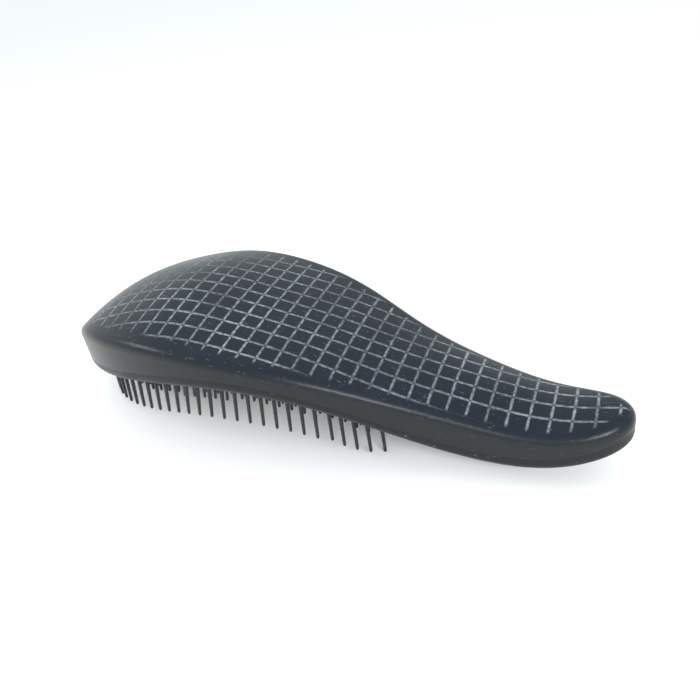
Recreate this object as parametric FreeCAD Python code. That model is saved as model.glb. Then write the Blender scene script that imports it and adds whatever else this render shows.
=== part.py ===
"""Detangling brush: a hollow S-shaped body of two shells with a pad of long and short bristles under the head.

Millimetres. +X points to the handle end, +Z up, and the brush stands on its lowest bristle tips at Z = 0.
"""
import FreeCAD, Part
import bisect
import math
import os

Vector = FreeCAD.Vector

# Driving dimensions of the body
length = 190.0
head_width = 65.0
body_rise = 26.0
wall = 2.0
shoulder_radius = 3.4
keel_radius = 2.6
frame_height = 4.2
floor_thickness = 2.2

# Joint between the two shells
lip_height = 2.4
lip_thickness = 1.0
lip_clearance = 0.15
part_gap = 0.05

# Bristle pad and the opening under it
pad_thickness = 2.2
pad_clearance = 0.25
pad_seat_gap = 0.1
ledge_width = 1.2
tail_radius = 20.0

# Bristles
row_count = 28
column_pitch = 4.6
edge_margin = 2.2
first_row_margin = 4.2
last_row_margin = 3.7
long_length = 19.0
short_length = 12.5
root_radius = 0.74
tip_radius = 0.5
foot_radius = 0.95
foot_clearance = 0.12
lean_front_degrees = -7.0
lean_middle_degrees = -13.0
lean_rear_degrees = 2.0
lean_middle_share = 0.43

# Posts that hold the pad down, and pegs that lock the handle
post_radius = 2.4
post_gap = 0.1
socket_radius = 3.5
peg_radius = 1.6
peg_clearance = 0.1
peg_height = 7.0

# How finely the curves are sampled, and an overrun for cuts
outline_steps = 36
profile_steps = 24
crown_steps = 9
overrun = 5.0

# Stations along the brush, as shares of the length from the front
station_shares = [0.0, 0.08, 0.18, 0.30, 0.42, 0.54, 0.66, 0.78, 0.90, 1.0]
# Centre line of the top, lower edge of the wall, and crown at the edge, as shares of the body rise
top_shares = [0.10, 0.58, 0.88, 1.0, 0.855, 0.64, 0.375, 0.16, 0.035, 0.14]
lower_shares = [-0.34, -0.12, 0.09, 0.275, 0.345, 0.19, -0.185, -0.45, -0.46, -0.22]
crown_shares = [0.15, 0.24, 0.27, 0.22, 0.10, 0.06, 0.105, 0.145, 0.17, 0.175]
# Half width before the ends are rounded, as shares of the head width
half_width_shares = [0.435, 0.49, 0.53, 0.53, 0.495, 0.42, 0.315, 0.26, 0.265, 0.315]
# Where the rounding of both ends starts, and how blunt each end is
rounding_share = 0.61
front_bluntness = 3.25
rear_bluntness = 2.95
# Posts on the pad: shares of the length, and of the head width out to the side
post_shares = [(0.17, 0.0), (0.33, 0.24), (0.33, -0.24), (0.52, 0.20), (0.52, -0.20)]
# Pegs in the handle, as shares of the length
peg_shares = [0.76, 0.91]
# How much closer the rows get towards the handle, as a share of their mean spacing
crowding_share = 0.3
# Length of the opening under the head, as a share of the length
opening_share = 0.6495

front_x = -length / 2
rear_x = length / 2
frame_inset = wall + lip_clearance + lip_thickness + pad_clearance + ledge_width
pad_inset = frame_inset - ledge_width
tray_inset = pad_inset - pad_clearance
opening_length = opening_share * length
first_row_x = front_x + frame_inset + first_row_margin
row_span = opening_length - first_row_margin - last_row_margin
tail_x = front_x + frame_inset + opening_length - tail_radius


def smooth_line(shares):
    """Smooth curve through a table of shares, as a function of the place along the brush."""
    spans = [after - before for before, after in zip(station_shares, station_shares[1:])]
    slopes = [(after - before) / span for before, after, span in zip(shares, shares[1:], spans)]
    weights = [0.0]
    loads = [0.0]
    for index in range(1, len(spans)):
        pivot = 2 * (spans[index - 1] + spans[index]) - spans[index - 1] * weights[-1]
        weights.append(spans[index] / pivot)
        loads.append((6 * (slopes[index] - slopes[index - 1]) - spans[index - 1] * loads[-1]) / pivot)
    bends = [0.0] * len(shares)
    for index in range(len(spans) - 1, 0, -1):
        bends[index] = loads[index] - weights[index] * bends[index + 1]

    def value(x):
        share = (x - front_x) / length
        spot = min(max(bisect.bisect(station_shares, share) - 1, 0), len(spans) - 1)
        span = spans[spot]
        inside = min(max(share, 0), 1)
        left = (station_shares[spot + 1] - inside) / span
        right = 1 - left
        curved = (left ** 3 - left) * bends[spot] + (right ** 3 - right) * bends[spot + 1]
        outside = (share - inside) * slopes[spot]
        return left * shares[spot] + right * shares[spot + 1] + curved * span * span / 6 + outside

    return value


top_line = smooth_line(top_shares)
lower_line = smooth_line(lower_shares)
crown_line = smooth_line(crown_shares)
half_width_line = smooth_line(half_width_shares)


def half_body(x):
    return head_width * half_width_line(x)


def half_width(x):
    """Half width of the plan outline, with both ends rounded."""
    middle_x = front_x + rounding_share * length
    front_turn = min(max((middle_x - x) / (middle_x - front_x), 0), 1)
    rear_turn = min(max((x - middle_x) / (rear_x - middle_x), 0), 1)
    return half_body(x) * math.sqrt((1 - front_turn ** front_bluntness) * (1 - rear_turn ** rear_bluntness))


def half_width_inside(x, inset):
    """Half width of the outline drawn in by an inset."""
    step = length / outline_steps
    low_x = max(x - step, front_x)
    high_x = min(x + step, rear_x)
    slope = (half_width(high_x) - half_width(low_x)) / (high_x - low_x)
    return half_width(x) - inset * math.hypot(1, slope)


def row_lean(share):
    """Lean of a row in degrees, towards the handle end, at a share of the bristle field."""
    if share < lean_middle_share:
        turn = share / lean_middle_share
        return lean_front_degrees + (lean_middle_degrees - lean_front_degrees) * turn
    turn = (share - lean_middle_share) / (1 - lean_middle_share)
    return lean_middle_degrees + (lean_rear_degrees - lean_middle_degrees) * turn


def row_places():
    """Foot place, lean and side places of each bristle row, before the brush is lifted onto its tips.

    Long and short bristles alternate, and the two end rows have short ones only.
    """
    rows = []
    for index in range(row_count):
        along = index / (row_count - 1)
        x = first_row_x + row_span * along * (1 + crowding_share * (1 - along))
        room = half_width_inside(x, frame_inset + edge_margin)
        if x > tail_x:
            tail_room = (tail_radius - edge_margin) ** 2 - (x - tail_x) ** 2
            room = min(room, math.sqrt(max(tail_room, 0)))
        steps = int(max(room, 0) / column_pitch + 0.5)
        spacing = room / steps if steps else column_pitch
        lean = row_lean(along)
        z = body_rise * lower_line(x) + floor_thickness + pad_seat_gap
        is_end = index in (0, row_count - 1)
        sides = [(spacing * side, not is_end and (steps - side) % 2 == 0) for side in range(-steps, steps + 1)]
        rows.append((x, z, lean, sides))
    return rows


def tip_drop(lean, sides):
    """Height from a row's feet down to the lowest point of its round tips."""
    reach = max(long_length if is_long else short_length for y, is_long in sides)
    return (reach - tip_radius) * math.cos(math.radians(lean)) + tip_radius


lift = -min(z - tip_drop(lean, sides) for x, z, lean, sides in row_places())


def lower_z(x):
    return lift + body_rise * lower_line(x)


def top_z(x, y):
    centre = lift + body_rise * top_line(x)
    return centre - body_rise * crown_line(x) * (y / half_body(x)) ** 2


low_z = -overrun
high_z = lift + body_rise + overrun


def outline_point(turn, inset):
    """Point of the plan outline at a turn from the front, moved inward by an inset."""
    def raw(angle):
        x = front_x * math.cos(angle)
        return Vector(x, half_width(x) * (1 if math.sin(angle) >= 0 else -1), 0)
    nudge = math.pi / outline_steps / 10
    tangent = raw(turn + nudge) - raw(turn - nudge)
    inward = Vector(tangent.y, -tangent.x, 0).normalize()
    return raw(turn) + inward * inset


def outline_prism(inset):
    """Upright block with the plan outline."""
    turns = [2 * math.pi * (step + 0.5) / outline_steps for step in range(outline_steps)]
    curve = Part.BSplineCurve()
    curve.interpolate(Points=[outline_point(turn, inset) for turn in turns], PeriodicFlag=True)
    face = Part.Face(Part.Wire(curve.toShape()))
    face.translate(Vector(0, 0, low_z))
    return face.extrude(Vector(0, 0, high_z - low_z))


def profile_xs():
    start = front_x - overrun
    return [start + (length + 2 * overrun) * step / profile_steps for step in range(profile_steps + 1)]


def under_top(drop):
    """Everything below the crowned top surface, lowered by a drop."""
    side = head_width / 2 + head_width / crown_steps
    grid = []
    for x in profile_xs():
        ys = [side * (2 * step / (crown_steps - 1) - 1) for step in range(crown_steps)]
        grid.append([Vector(x, y, top_z(x, y) - drop) for y in ys])
    surface = Part.BSplineSurface()
    surface.interpolate(grid)
    return surface.toShape().extrude(Vector(0, 0, low_z - high_z))


def band(low, high):
    """Block between two copies of the lower edge of the wall, raised by two heights."""
    curves = []
    for height in (low, high):
        curve = Part.BSplineCurve()
        curve.interpolate([Vector(x, -head_width, lower_z(x) + height) for x in profile_xs()])
        curves.append(curve)
    bottom, top = curves
    rear = Part.makeLine(bottom.EndPoint, top.EndPoint)
    front = Part.makeLine(top.StartPoint, bottom.StartPoint)
    face = Part.Face(Part.Wire([bottom.toShape(), rear, top.toShape(), front]))
    return face.extrude(Vector(0, 2 * head_width, 0))


def head_region(radius):
    """Upright block over the bristle field, with a round rear end."""
    corner = Vector(front_x - overrun, -head_width, low_z)
    box = Part.makeBox(tail_x - corner.x, 2 * head_width, high_z - low_z, corner)
    tail = Part.makeCylinder(radius, high_z - low_z, Vector(tail_x, 0, low_z))
    return box.fuse(tail)


def peg_top(x):
    return lower_z(x) + floor_thickness + peg_height


def upright(radius, x, y, bottom, top):
    return Part.makeCylinder(radius, top - bottom, Vector(x, y, bottom))


def round_rim(shape, radius, height):
    """Round the longest edge that lies on a surface given by its height function."""
    rims = []
    for edge in shape.Edges:
        spots = edge.discretize(Number=crown_steps)
        if all(abs(spot.z - height(spot.x, spot.y)) < wall / 4 for spot in spots):
            rims.append(edge)
    return shape.makeFillet(radius, [max(rims, key=lambda edge: edge.Length)])


def build_top_shell():
    body = outline_prism(0).common(under_top(0)).common(band(frame_height + part_gap, 2 * high_z))
    void = outline_prism(wall).common(under_top(wall))
    solids = []
    for share, side_share in post_shares:
        x = front_x + share * length
        bottom = lower_z(x) + floor_thickness + pad_seat_gap + pad_thickness + post_gap
        solids.append(upright(post_radius, x, side_share * head_width, bottom, high_z))
    holes = []
    for share in peg_shares:
        x = front_x + share * length
        solids.append(upright(socket_radius, x, 0, low_z, high_z))
        holes.append(upright(peg_radius + peg_clearance, x, 0, low_z, peg_top(x) + peg_clearance))
    shell = body.cut(void.cut(solids)).cut(holes)
    shell = round_rim(shell, shoulder_radius, top_z)
    return round_rim(shell, shoulder_radius - wall, lambda x, y: top_z(x, y) - wall)


def build_lower_shell():
    skirt = outline_prism(0).common(band(0, frame_height))
    lip = outline_prism(wall + lip_clearance).common(band(floor_thickness, frame_height + lip_height))
    tray = skirt.fuse(lip).cut(outline_prism(tray_inset).common(band(floor_thickness, 2 * high_z)))
    tray = tray.cut(outline_prism(frame_inset).common(head_region(tail_radius)))
    pegs = []
    for share in peg_shares:
        x = front_x + share * length
        pegs.append(upright(peg_radius, x, 0, lower_z(x) + floor_thickness / 2, peg_top(x)))
    tray = tray.fuse(pegs).removeSplitter()
    return round_rim(tray, keel_radius, lambda x, y: lower_z(x))


def build_bristle_pad(rows):
    seat = floor_thickness + pad_seat_gap
    plate = outline_prism(pad_inset).common(head_region(tail_radius + ledge_width))
    plate = plate.common(band(seat, seat + pad_thickness))
    pockets = []
    for x, z, lean, sides in rows:
        for y, is_long in sides:
            pockets.append(Part.makeSphere(foot_radius + foot_clearance, Vector(x, y, z + lift)))
    return plate.cut(pockets)


def make_bristle(reach):
    """One bristle hanging from the centre of its ball foot."""
    neck_z = -math.sqrt(foot_radius ** 2 - root_radius ** 2)
    end_z = tip_radius - reach
    middle = math.sqrt(0.5) * tip_radius
    foot = Part.Arc(Vector(0, 0, foot_radius), Vector(foot_radius, 0, 0), Vector(root_radius, 0, neck_z))
    shank = Part.makeLine(Vector(root_radius, 0, neck_z), Vector(tip_radius, 0, end_z))
    tip = Part.Arc(Vector(tip_radius, 0, end_z), Vector(middle, 0, end_z - middle), Vector(0, 0, -reach))
    axis = Part.makeLine(Vector(0, 0, -reach), Vector(0, 0, foot_radius))
    face = Part.Face(Part.Wire([foot.toShape(), shank, tip.toShape(), axis]))
    return face.revolve(Vector(0, 0, 0), Vector(0, 0, 1), 360)


def build_bristle_row(row, long_bristle, short_bristle):
    x, z, lean, sides = row
    turn = FreeCAD.Rotation(Vector(0, 1, 0), -lean)
    bristles = []
    for y, is_long in sides:
        bristle = (long_bristle if is_long else short_bristle).copy()
        bristle.Placement = FreeCAD.Placement(Vector(x, y, z + lift), turn)
        bristles.append(bristle)
    return Part.makeCompound(bristles)


def main():
    os.makedirs("parts", exist_ok=True)
    rows = row_places()
    pieces = {
        "top_shell": build_top_shell(),
        "lower_shell": build_lower_shell(),
        "bristle_pad": build_bristle_pad(rows),
    }
    long_bristle = make_bristle(long_length)
    short_bristle = make_bristle(short_length)
    for number, row in enumerate(rows, 1):
        pieces[f"bristle_row_{number:02d}"] = build_bristle_row(row, long_bristle, short_bristle)
        print(f"row {number:02d} hinge x {row[0]:.3f} z {row[1] + lift:.3f} bristles {len(row[3])}")
    for name, shape in pieces.items():
        shape.exportStep(f"parts/{name}.step")
        box = shape.BoundBox
        print(f"{name}: solids {len(shape.Solids)}, valid {shape.isValid()}, volume {shape.Volume:.1f},"
              f" x {box.XMin:.2f} {box.XMax:.2f}, y {box.YMin:.2f} {box.YMax:.2f}, z {box.ZMin:.2f} {box.ZMax:.2f}")


main()
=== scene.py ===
# %% [markdown]
# A detangling brush, dressed for a studio picture.
# The real brush is a hollow body of two plastic mouldings, with a pad of long and short nylon bristles under its head.
# The measured solids come in first as a fixed frame, and every finish and new piece is made around them.

# %% Load the fixed frame
import math
import bpy
from mathutils import Matrix, Quaternion, Vector


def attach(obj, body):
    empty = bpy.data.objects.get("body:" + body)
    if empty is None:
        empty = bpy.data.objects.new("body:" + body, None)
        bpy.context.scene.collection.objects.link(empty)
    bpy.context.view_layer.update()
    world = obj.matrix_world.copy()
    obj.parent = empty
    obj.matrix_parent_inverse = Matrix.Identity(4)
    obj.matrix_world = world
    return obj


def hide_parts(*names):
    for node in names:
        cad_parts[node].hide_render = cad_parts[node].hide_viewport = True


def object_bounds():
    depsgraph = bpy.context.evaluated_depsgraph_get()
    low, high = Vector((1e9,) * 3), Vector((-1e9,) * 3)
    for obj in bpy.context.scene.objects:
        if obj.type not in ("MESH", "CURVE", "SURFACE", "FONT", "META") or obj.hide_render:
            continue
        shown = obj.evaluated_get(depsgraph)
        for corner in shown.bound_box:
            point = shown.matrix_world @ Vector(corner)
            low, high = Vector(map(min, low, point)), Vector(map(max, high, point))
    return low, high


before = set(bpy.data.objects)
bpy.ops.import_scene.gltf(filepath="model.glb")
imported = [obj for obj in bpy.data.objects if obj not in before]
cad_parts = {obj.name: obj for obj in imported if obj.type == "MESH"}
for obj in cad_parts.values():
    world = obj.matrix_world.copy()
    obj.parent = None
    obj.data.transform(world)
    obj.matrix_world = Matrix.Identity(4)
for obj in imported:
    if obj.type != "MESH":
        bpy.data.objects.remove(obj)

solid_box = [list(corner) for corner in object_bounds()]
millimetre = 0.001
print("box of the solids", solid_box)

# %% [markdown]
# The camera comes before the pieces, so that each of them can be held against the photograph.
# The picture was taken from the handle side, from above, with the camera rolled a little.
# A place, a point to look at and a roll say this in a way that is easy to change.

# %% Place the camera
camera_place = Vector((0.1038, -0.1490, 0.1449))
look_at = Vector((0.01276, 0.0, 0.0277))
camera_roll = math.radians(9.54)
lens_length = 35.5

bpy.ops.object.select_all(action="DESELECT")
bpy.ops.object.camera_add(location=camera_place)
camera = bpy.context.object
camera.name = "camera"
camera.data.sensor_width = 36.0
camera.data.lens = lens_length
camera.data.clip_start = 0.005
gaze = (look_at - camera_place).to_track_quat("-Z", "Y")
camera.rotation_mode = "QUATERNION"
camera.rotation_quaternion = gaze @ Quaternion((0, 0, 1), -camera_roll)
bpy.context.scene.camera = camera
print("camera looks from", tuple(camera.location))

# %% [markdown]
# A finish is a small graph of nodes, and the same few kinds of node come back in each one.
# A helper that adds a node and sets its sockets keeps the graphs short enough to read.
# A socket is named by its words, with _ for a space, or by n and its number where several share one name.

# %% Helpers for finishes
def new_finish(name):
    finish = bpy.data.materials.new(name)
    finish.use_nodes = True
    tree = finish.node_tree
    return finish, tree, tree.nodes["Principled BSDF"]


def add_node(tree, kind, settings=None, **sockets):
    node = tree.nodes.new(kind)
    for key, value in (settings or {}).items():
        setattr(node, key, value)
    for key, value in sockets.items():
        spot = int(key[1:]) if key[0] == "n" and key[1:].isdigit() else key.replace("_", " ")
        if isinstance(value, bpy.types.NodeSocket):
            tree.links.new(value, node.inputs[spot])
        else:
            node.inputs[spot].default_value = value
    return node


def calculate(tree, operation, first, second=0.0):
    node = add_node(tree, "ShaderNodeMath", {"operation": operation}, n0=first, n1=second)
    return node.outputs[0]


def fade(tree, value, low, high, start, end):
    node = add_node(tree, "ShaderNodeMapRange", {"interpolation_type": "SMOOTHSTEP"}, n0=value,
                    n1=low, n2=high, n3=start, n4=end)
    return node.outputs[0]


def blend_colours(tree, share, first, second):
    node = add_node(tree, "ShaderNodeMix", {"data_type": "RGBA"}, n0=share, n6=first, n7=second)
    return node.outputs[2]


def noise(tree, place, size, detail=3.0, roughness=0.55):
    node = add_node(tree, "ShaderNodeTexNoise", None, Vector=place, Scale=1 / size, Detail=detail, Roughness=roughness)
    return node.outputs[0]


def object_place(tree):
    return tree.nodes.new("ShaderNodeTexCoord").outputs["Object"]


print("helpers for the nodes of a finish are ready")

# %% [markdown]
# The scratches that a brush picks up in a bag are short, thin and all ways round.
# Stretched noise in two directions, cut to its brightest threads, gives them without a picture.

# %% Scratches and specks
scratch_length = 12 * millimetre
scratch_thinness = 22.0


def scratches(tree, place, turn):
    turned = add_node(tree, "ShaderNodeMapping", None, Vector=place, Rotation=(0.0, 0.0, turn),
                      Scale=(1.0, scratch_thinness, scratch_thinness)).outputs[0]
    return fade(tree, noise(tree, turned, scratch_length, 2.0, 0.5), 0.69, 0.73, 0.0, 1.0)


def specks(tree, place, spacing):
    node = add_node(tree, "ShaderNodeTexVoronoi", None, Vector=place, Scale=1 / spacing)
    return fade(tree, node.outputs[0], 0.06, 0.11, 1.0, 0.0)


print("scratches up to", scratch_length, "m long")

# %% [markdown]
# The frame of the body is moulded in a near-black blue plastic with a satin face.
# Its colour drifts very slightly, it has a fine mould grain, and dust shows as small pale specks.
# The pad is a duller sort of it and the bristles a slightly paler one, so one recipe with other values gives all three.

# %% Satin plastic of the body
colour_drift = 30 * millimetre
dust_spacing = 3.5 * millimetre
grain_size = 0.6 * millimetre
grain_height = 0.1 * millimetre
roughness_drift = 0.06
scratch_grey = (0.16, 0.18, 0.21, 1.0)
dust_grey = (0.22, 0.24, 0.27, 1.0)


def make_satin_plastic(name, colour, worn, roughness):
    finish, tree, shader = new_finish(name)
    place = object_place(tree)
    drift = noise(tree, place, colour_drift)
    marks = calculate(tree, "MAXIMUM", scratches(tree, place, 0.5), scratches(tree, place, 2.1))
    dust = calculate(tree, "MULTIPLY", specks(tree, place, dust_spacing), fade(tree, drift, 0.5, 0.6, 0.0, 0.5))
    base = blend_colours(tree, drift, colour, worn)
    base = blend_colours(tree, calculate(tree, "MULTIPLY", marks, 0.25), base, scratch_grey)
    tree.links.new(blend_colours(tree, dust, base, dust_grey), shader.inputs["Base Color"])
    uneven = fade(tree, drift, 0.3, 0.7, roughness - roughness_drift, roughness + roughness_drift)
    tree.links.new(uneven, shader.inputs["Roughness"])
    shader.inputs["Specular IOR Level"].default_value = 0.25
    grain = noise(tree, place, grain_size, 2.0, 0.6)
    bump = add_node(tree, "ShaderNodeBump", None, Strength=0.12, Distance=grain_height, Height=grain)
    tree.links.new(bump.outputs[0], shader.inputs["Normal"])
    print("finish", name)
    return finish


frame_plastic = make_satin_plastic(
    "frame_plastic", colour=(0.007, 0.008, 0.010, 1.0), worn=(0.012, 0.014, 0.018, 1.0), roughness=0.40)
pad_rubber = make_satin_plastic(
    "pad_rubber", colour=(0.010, 0.011, 0.013, 1.0), worn=(0.016, 0.017, 0.020, 1.0), roughness=0.62)
bristle_nylon = make_satin_plastic(
    "bristle_nylon", colour=(0.011, 0.012, 0.015, 1.0), worn=(0.022, 0.024, 0.028, 1.0), roughness=0.36)

# %% [markdown]
# The cover carries a field of squares, laid a few degrees askew on the brush.
# The squares are dark and glossy, and the thin bands between them are painted paler: a painted highlight along the band
# edges.
# The pattern is worked out from the place on the brush, so that it stays put on the cover and needs no picture.
# From here on places are counted in squares, so a whole number lies on a band and a half in the middle of a square.

# %% Grid of squares on the cover
square_pitch = 5.422 * millimetre
grid_turn = 0.0878
grid_tilt = math.radians(-10.36)
grid_start = (-2.714, 4.018)
band_share = 0.062


def grid_place(tree, place):
    tilted = add_node(tree, "ShaderNodeVectorRotate", {"rotation_type": "Y_AXIS"}, Vector=place,
                      Angle=grid_tilt).outputs[0]
    split = add_node(tree, "ShaderNodeSeparateXYZ", None, n0=tilted)
    along = calculate(tree, "DIVIDE", split.outputs[0], square_pitch)
    along = calculate(tree, "ADD", along, grid_start[0])
    across = calculate(tree, "DIVIDE", split.outputs[1], square_pitch)
    turned = add_node(tree, "ShaderNodeVectorRotate", {"rotation_type": "Z_AXIS"},
                      Vector=add_node(tree, "ShaderNodeCombineXYZ", None, n0=along, n1=across).outputs[0],
                      Angle=-grid_turn).outputs[0]
    flat = add_node(tree, "ShaderNodeSeparateXYZ", None, n0=turned)
    return flat.outputs[0], calculate(tree, "ADD", flat.outputs[1], grid_start[1])


print("squares of", square_pitch, "m, turned by", round(math.degrees(grid_turn), 1), "degrees")

# %% [markdown]
# The grid stops short of the edge of the cover and leaves a smooth rim of a few millimetres.
# A curve gives the half width of the grid field at each place along the brush, as a maker would mark it on a template.
# What lies inside that line has the grid, and it fades out over the last millimetre.

# %% Field of the grid
field_half_widths = [(0.018, 2.5), (0.026, 7.0), (0.037, 9.5), (0.068, 14.6), (0.1, 18.2), (0.153, 22.6), (0.237, 26.7),
                     (0.342, 28.4), (0.447, 27.3), (0.553, 23.3), (0.658, 17.3), (0.763, 13.9), (0.842, 12.2),
                     (0.895, 10.9), (0.932, 9.3), (0.953, 7.6), (0.963, 6.4), (0.974, 3.4)]
widest = 40.0


def fade_straight(tree, value, low, high):
    return add_node(tree, "ShaderNodeMapRange", None, n0=value, n1=low, n2=high, n3=0.0, n4=1.0).outputs[0]


def grid_field(tree, place):
    split = add_node(tree, "ShaderNodeSeparateXYZ", None, n0=place)
    front, rear = solid_box[0][0], solid_box[1][0]
    share = fade_straight(tree, split.outputs[0], front, rear)
    template = add_node(tree, "ShaderNodeFloatCurve", None, Value=share)
    line = template.mapping.curves[0]
    line.points[0].location = (0.0, 0.0)
    line.points[1].location = (1.0, 0.0)
    for spot, half in field_half_widths:
        line.points.new(spot, half / widest)
    template.mapping.update()
    border = calculate(tree, "MULTIPLY", template.outputs[0], widest * millimetre)
    return calculate(tree, "SUBTRACT", border, calculate(tree, "ABSOLUTE", split.outputs[1]))


print("template of", len(field_half_widths), "half widths")

# %% [markdown]
# The bands are thin, with edges that wander a little because wear is never even.
# A ping-pong turns the count of squares into the distance from the nearest line, which says where a band is.
# Where two bands meet, their painted highlight is dimmed: painted shade, because the highlight on the band edges falls
# away there.

# %% Bands between the squares
band_edge = 0.035
band_wander = 0.10
wander_size = 1.6 * millimetre
# share of the painted band highlight left where two bands meet, a painted shade
crossing_highlight_share = 0.45


def bands_between_squares(tree, place, along, across):
    cross_line = calculate(tree, "PINGPONG", along, 0.5)
    long_line = calculate(tree, "PINGPONG", across, 0.5)
    wander = calculate(tree, "SUBTRACT", noise(tree, place, wander_size), 0.5)
    wander = calculate(tree, "MULTIPLY", wander, band_wander)
    nearest = calculate(tree, "ADD", calculate(tree, "MINIMUM", cross_line, long_line), wander)
    bands = fade(tree, nearest, band_share - band_edge, band_share + band_edge, 1.0, 0.0)
    # painted shade: the band highlight is dimmed where two bands meet
    further = calculate(tree, "MAXIMUM", cross_line, long_line)
    painted_crossing_shade = fade(tree, further, band_share * 0.7, band_share * 2.2, crossing_highlight_share, 1.0)
    return bands, painted_crossing_shade


print("bands", round(2 * band_share * square_pitch / millimetre, 2), "mm wide")

# %% [markdown]
# The squares are near-black blue, and the side wall below the rim is painted a flat, less blue grey: painted light on
# the sides, not a different plastic.
# The wall is told from the dome by how far the surface looks up, so no line has to be drawn between them.
# Dust and scratches show as pale marks, fewer of them on the wall than on the squares.

# %% Colour of the squares and the wall
square_dark = (0.005, 0.0095, 0.016, 1.0)
square_light = (0.010, 0.0165, 0.026, 1.0)
# pale of the bands, a painted highlight along their edges; the same pale also colours the real dust specks and
# scratches
band_highlight_and_dust_pale = (0.27, 0.32, 0.36, 1.0)
# flat grey of the side wall, painted light that the sides get from the way they face
wall_painted_light_grey = (0.016, 0.018, 0.020, 1.0)
square_drift = 16 * millimetre
cover_dust_spacing = 2.6 * millimetre
dust_on_squares, dust_on_wall = 0.2, 0.06


def wall_share(tree):
    facing = tree.nodes.new("ShaderNodeTexCoord").outputs["Normal"]
    up = add_node(tree, "ShaderNodeSeparateXYZ", None, n0=facing).outputs[2]
    return fade(tree, up, 0.25, 0.7, 1.0, 0.0)


def square_colour(tree, place, marks):
    on_wall = wall_share(tree)
    colour = blend_colours(tree, noise(tree, place, square_drift), square_dark, square_light)
    # painted light: surfaces that face sideways take the flat grey of the wall
    colour = blend_colours(tree, on_wall, colour, wall_painted_light_grey)
    dust = calculate(tree, "MAXIMUM", specks(tree, place, cover_dust_spacing), marks)
    dust = calculate(tree, "MULTIPLY", dust, fade(tree, on_wall, 0.0, 1.0, dust_on_squares, dust_on_wall))
    return blend_colours(tree, dust, colour, band_highlight_and_dust_pale)


print("squares from", square_dark[:3], "to", square_light[:3])

# %% [markdown]
# The finish of the cover brings these together: the squares first, then the bands over them.
# A slow and a quick noise change how pale the bands are, so their painted highlight is uneven.
# The bands are duller than the glossy squares and stand a little proud, which a bump shows well enough at this size.

# %% Gloss of the cover
rim_fade = 1.6 * millimetre
slow_highlight_drift = 22 * millimetre
quick_highlight_drift = 1.1 * millimetre
square_roughness, band_roughness = 0.30, 0.50
band_height = 0.25 * millimetre
scratch_depth = -0.1


# unevenness of the painted highlight on the bands
def band_highlight_unevenness(tree, place):
    slow = fade(tree, noise(tree, place, slow_highlight_drift), 0.3, 0.7, 0.4, 1.0)
    quick = fade(tree, noise(tree, place, quick_highlight_drift), 0.3, 0.7, 0.4, 1.15)
    return calculate(tree, "MULTIPLY", slow, quick)


def make_cover_finish():
    finish, tree, shader = new_finish("cover_gloss")
    place = object_place(tree)
    bands, painted_crossing_shade = bands_between_squares(tree, place, *grid_place(tree, place))
    inside = fade(tree, grid_field(tree, place), 0.0, rim_fade, 0.0, 1.0)
    ridge = calculate(tree, "MULTIPLY", bands, inside)
    # painted highlight: the bands are coloured pale inside the grid field, and dimmed where two bands meet
    painted_band_highlight = calculate(tree, "MULTIPLY", calculate(tree, "MULTIPLY", ridge, painted_crossing_shade), band_highlight_unevenness(tree, place))
    marks = calculate(tree, "MAXIMUM", scratches(tree, place, 0.4), scratches(tree, place, 1.9))
    colour = blend_colours(tree, painted_band_highlight, square_colour(tree, place, marks), band_highlight_and_dust_pale)
    tree.links.new(colour, shader.inputs["Base Color"])
    tree.links.new(fade(tree, ridge, 0.0, 1.0, square_roughness, band_roughness), shader.inputs["Roughness"])
    shader.inputs["Specular IOR Level"].default_value = 0.24
    relief = calculate(tree, "ADD", ridge, calculate(tree, "MULTIPLY", marks, scratch_depth))
    bump = add_node(tree, "ShaderNodeBump", None, Strength=0.6, Distance=band_height, Height=relief)
    tree.links.new(bump.outputs[0], shader.inputs["Normal"])
    print("finish", finish.name)
    return finish


cover_gloss = make_cover_finish()

# %% [markdown]
# The solids of the cover, the frame and the pad already have the right shape, down to the part line between the shells.
# They stay as they are, and only their finish changes, by putting it in place of the plain one they came with.

# %% Dress the solids
def dress(node, finish):
    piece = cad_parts[node]
    piece.data.materials.clear()
    piece.data.materials.append(finish)


dress("top_shell", cover_gloss)
dress("lower_shell", frame_plastic)
dress("bristle_pad", pad_rubber)
print("dressed the cover, the frame and the pad")

# %% [markdown]
# Each bristle is a tapered nylon pin on a ball foot that sits in the pad.
# There are about two hundred and seventy of them, so one light pin of each length is modelled and then copied.
# A round ball with few rings is a good start: its upper half stays as the foot, and its lower rings are drawn down.

# %% Model one bristle of each length
foot_radius = 0.95 * millimetre
root_radius = 0.74 * millimetre
tip_radius = 0.5 * millimetre
long_reach = 19.0 * millimetre
short_reach = 12.5 * millimetre
ring_angles = (90, 67.5, 45, 22.5)
ring_tolerance = foot_radius / 20


def move_ring(pin, ring_height, radius, height):
    old_radius = math.sqrt(max(foot_radius ** 2 - ring_height ** 2, 0))
    bpy.ops.object.mode_set(mode="EDIT")
    bpy.ops.mesh.select_all(action="DESELECT")
    bpy.ops.object.mode_set(mode="OBJECT")
    for vertex in pin.data.vertices:
        vertex.select = abs(vertex.co.z - ring_height) < ring_tolerance
    bpy.ops.object.mode_set(mode="EDIT")
    if radius:
        ratio = radius / old_radius
        bpy.ops.transform.resize(value=(ratio, ratio, 1), center_override=(0, 0, 0))
    bpy.ops.transform.translate(value=(0, 0, height - ring_height))
    bpy.ops.object.mode_set(mode="OBJECT")


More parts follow.
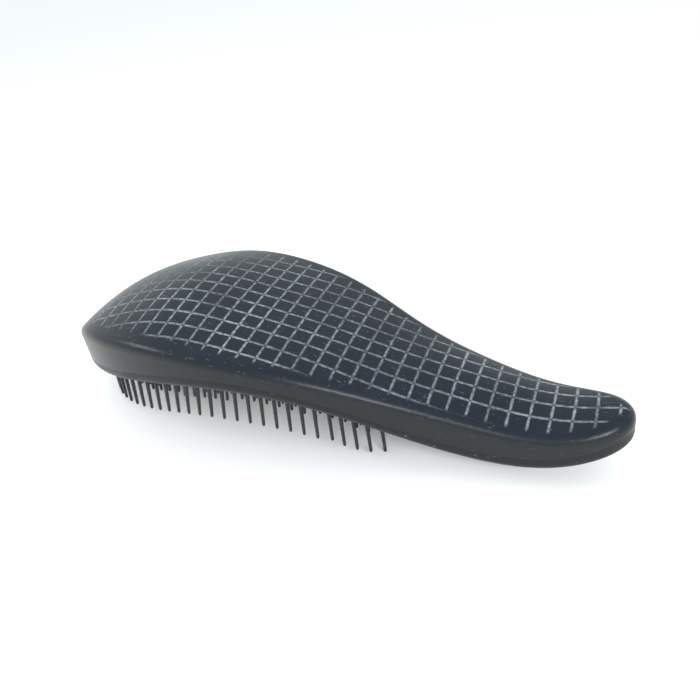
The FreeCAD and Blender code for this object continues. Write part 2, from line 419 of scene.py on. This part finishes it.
def model_bristle(name, reach):
    bpy.ops.object.select_all(action="DESELECT")
    bpy.ops.mesh.primitive_uv_sphere_add(segments=8, ring_count=8, radius=foot_radius)
    pin = bpy.context.object
    pin.name = name
    bpy.ops.object.mode_set(mode="EDIT")
    bpy.ops.mesh.select_mode(type="VERT")
    bpy.ops.object.mode_set(mode="OBJECT")
    rings = [foot_radius * math.sin(math.radians(angle)) for angle in ring_angles]
    neck = -math.sqrt(foot_radius ** 2 - root_radius ** 2)
    move_ring(pin, -rings[0], 0, -reach)
    move_ring(pin, -rings[1], tip_radius * 0.72, tip_radius * 0.3 - reach)
    move_ring(pin, -rings[2], tip_radius, tip_radius - reach)
    move_ring(pin, -rings[3], root_radius, neck)
    bpy.ops.object.shade_smooth()
    pin.data.materials.append(bristle_nylon)
    print(name, "faces", len(pin.data.polygons))
    return pin


long_pin = model_bristle("long_bristle", long_reach)
short_pin = model_bristle("short_bristle", short_reach)

# %% [markdown]
# The pins go where the solids say: each row's solid tells the place of its feet, its lean and which pins are long.
# The points of a row are sorted across the brush, and a gap between neighbours shows where one bristle ends.

# %% Find the bristles of a row
least_gap = 1.0 * millimetre


def pins_of_row(node):
    spots = sorted((vertex.co.copy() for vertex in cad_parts[node].data.vertices), key=lambda spot: spot.y)
    groups = [[spots[0]]]
    for spot in spots[1:]:
        if spot.y - groups[-1][-1].y > least_gap:
            groups.append([])
        groups[-1].append(spot)
    return groups


def foot_and_tip(group):
    high = max(spot.z for spot in group)
    low = min(spot.z for spot in group)
    crown = [spot for spot in group if spot.z > high - foot_radius / 50]
    point = [spot for spot in group if spot.z < low + tip_radius / 50]
    middle = (min(spot.y for spot in group) + max(spot.y for spot in group)) / 2
    foot = Vector((sum(spot.x for spot in crown) / len(crown), middle, high - foot_radius))
    tip = Vector((sum(spot.x for spot in point) / len(point), middle, low + tip_radius))
    return foot, tip


row_total = sum(1 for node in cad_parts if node.startswith("bristle_row_"))
print(row_total, "rows, the first with", len(pins_of_row("bristle_row_01")), "bristles")

# %% [markdown]
# The pins of a row are joined into one piece, because the row flexes together at its feet.
# Each pin's place goes into its mesh, so the joined row sits at the origin like the solid that it stands for.

# %% Set the bristles in their rows
def place_pin(foot, tip):
    is_long = (foot - tip).length > (long_reach + short_reach) / 2 - tip_radius
    pin = (long_pin if is_long else short_pin).copy()
    pin.data = pin.data.copy()
    bpy.context.collection.objects.link(pin)
    lean = math.atan2(foot.x - tip.x, foot.z - tip.z)
    pin.data.transform(Matrix.Translation(foot) @ Matrix.Rotation(lean, 4, "Y"))
    return pin


def join_pins(pins):
    bpy.ops.object.select_all(action="DESELECT")
    for pin in pins:
        pin.select_set(True)
    bpy.context.view_layer.objects.active = pins[0]
    if len(pins) > 1:
        bpy.ops.object.join()
    return bpy.context.view_layer.objects.active


def set_row(number):
    node = f"bristle_row_{number:02d}"
    pins = [place_pin(*foot_and_tip(group)) for group in pins_of_row(node)]
    row = join_pins(pins)
    row.name = f"row_{number:02d}_bristles"
    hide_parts(node)
    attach(row, f"row_{number:02d}")
    return len(pins)


pin_total = sum(set_row(number) for number in range(1, row_total + 1))
bpy.data.objects.remove(long_pin)
bpy.data.objects.remove(short_pin)
print(row_total, "rows,", pin_total, "bristles")

# %% [markdown]
# The picture was taken on a white sweep under soft light, so the floor is plain and pale.
# A white world lights everything evenly, and the floor keeps the soft shadow under the brush.

# %% Floor
floor_size = 12.0
floor_drop = 0.1 * millimetre

bpy.ops.object.select_all(action="DESELECT")
bpy.ops.mesh.primitive_plane_add(size=floor_size, location=(0, 0, -floor_drop))
floor = bpy.context.object
floor.name = "floor"
floor_white, _, floor_shader = new_finish("floor_white")
floor_shader.inputs["Base Color"].default_value = (0.93, 0.95, 0.95, 1.0)
floor_shader.inputs["Roughness"].default_value = 0.9
floor_shader.inputs["Specular IOR Level"].default_value = 0.1
floor.data.materials.append(floor_white)
print("floor", floor_size, "m wide")

# %% [markdown]
# Dark gloss shows its shape by what it mirrors, so the lamps are long strips and not points.
# One stands to the right of the handle, where its streak runs round the end, and one in front of the head.

# %% World and lamps
world = bpy.context.scene.world or bpy.data.worlds.new("studio")
bpy.context.scene.world = world
world.use_nodes = True
backdrop = world.node_tree.nodes["Background"]
backdrop.inputs["Color"].default_value = (0.98, 1.0, 1.0, 1.0)
backdrop.inputs["Strength"].default_value = 1.0


def strip_lamp(name, place, aim, size, power):
    bpy.ops.object.select_all(action="DESELECT")
    bpy.ops.object.light_add(type="AREA", location=place)
    lamp = bpy.context.object
    lamp.name = name
    lamp.data.shape = "RECTANGLE"
    lamp.data.size, lamp.data.size_y = size
    lamp.data.energy = power
    lamp.rotation_euler = (Vector(aim) - Vector(place)).to_track_quat("-Z", "Y").to_euler()
    print("lamp", name, power, "W")


strip_lamp("handle_strip", place=(0.38, -0.40, 0.40), aim=(0.085, -0.012, 0.018), size=(0.40, 0.06), power=3.0)
strip_lamp("head_strip", place=(-0.55, -0.25, 0.40), aim=(-0.08, 0.0, 0.025), size=(0.30, 0.045), power=1.0)
bpy.context.scene.view_settings.view_transform = "Standard"
print("view transform", bpy.context.scene.view_settings.view_transform)
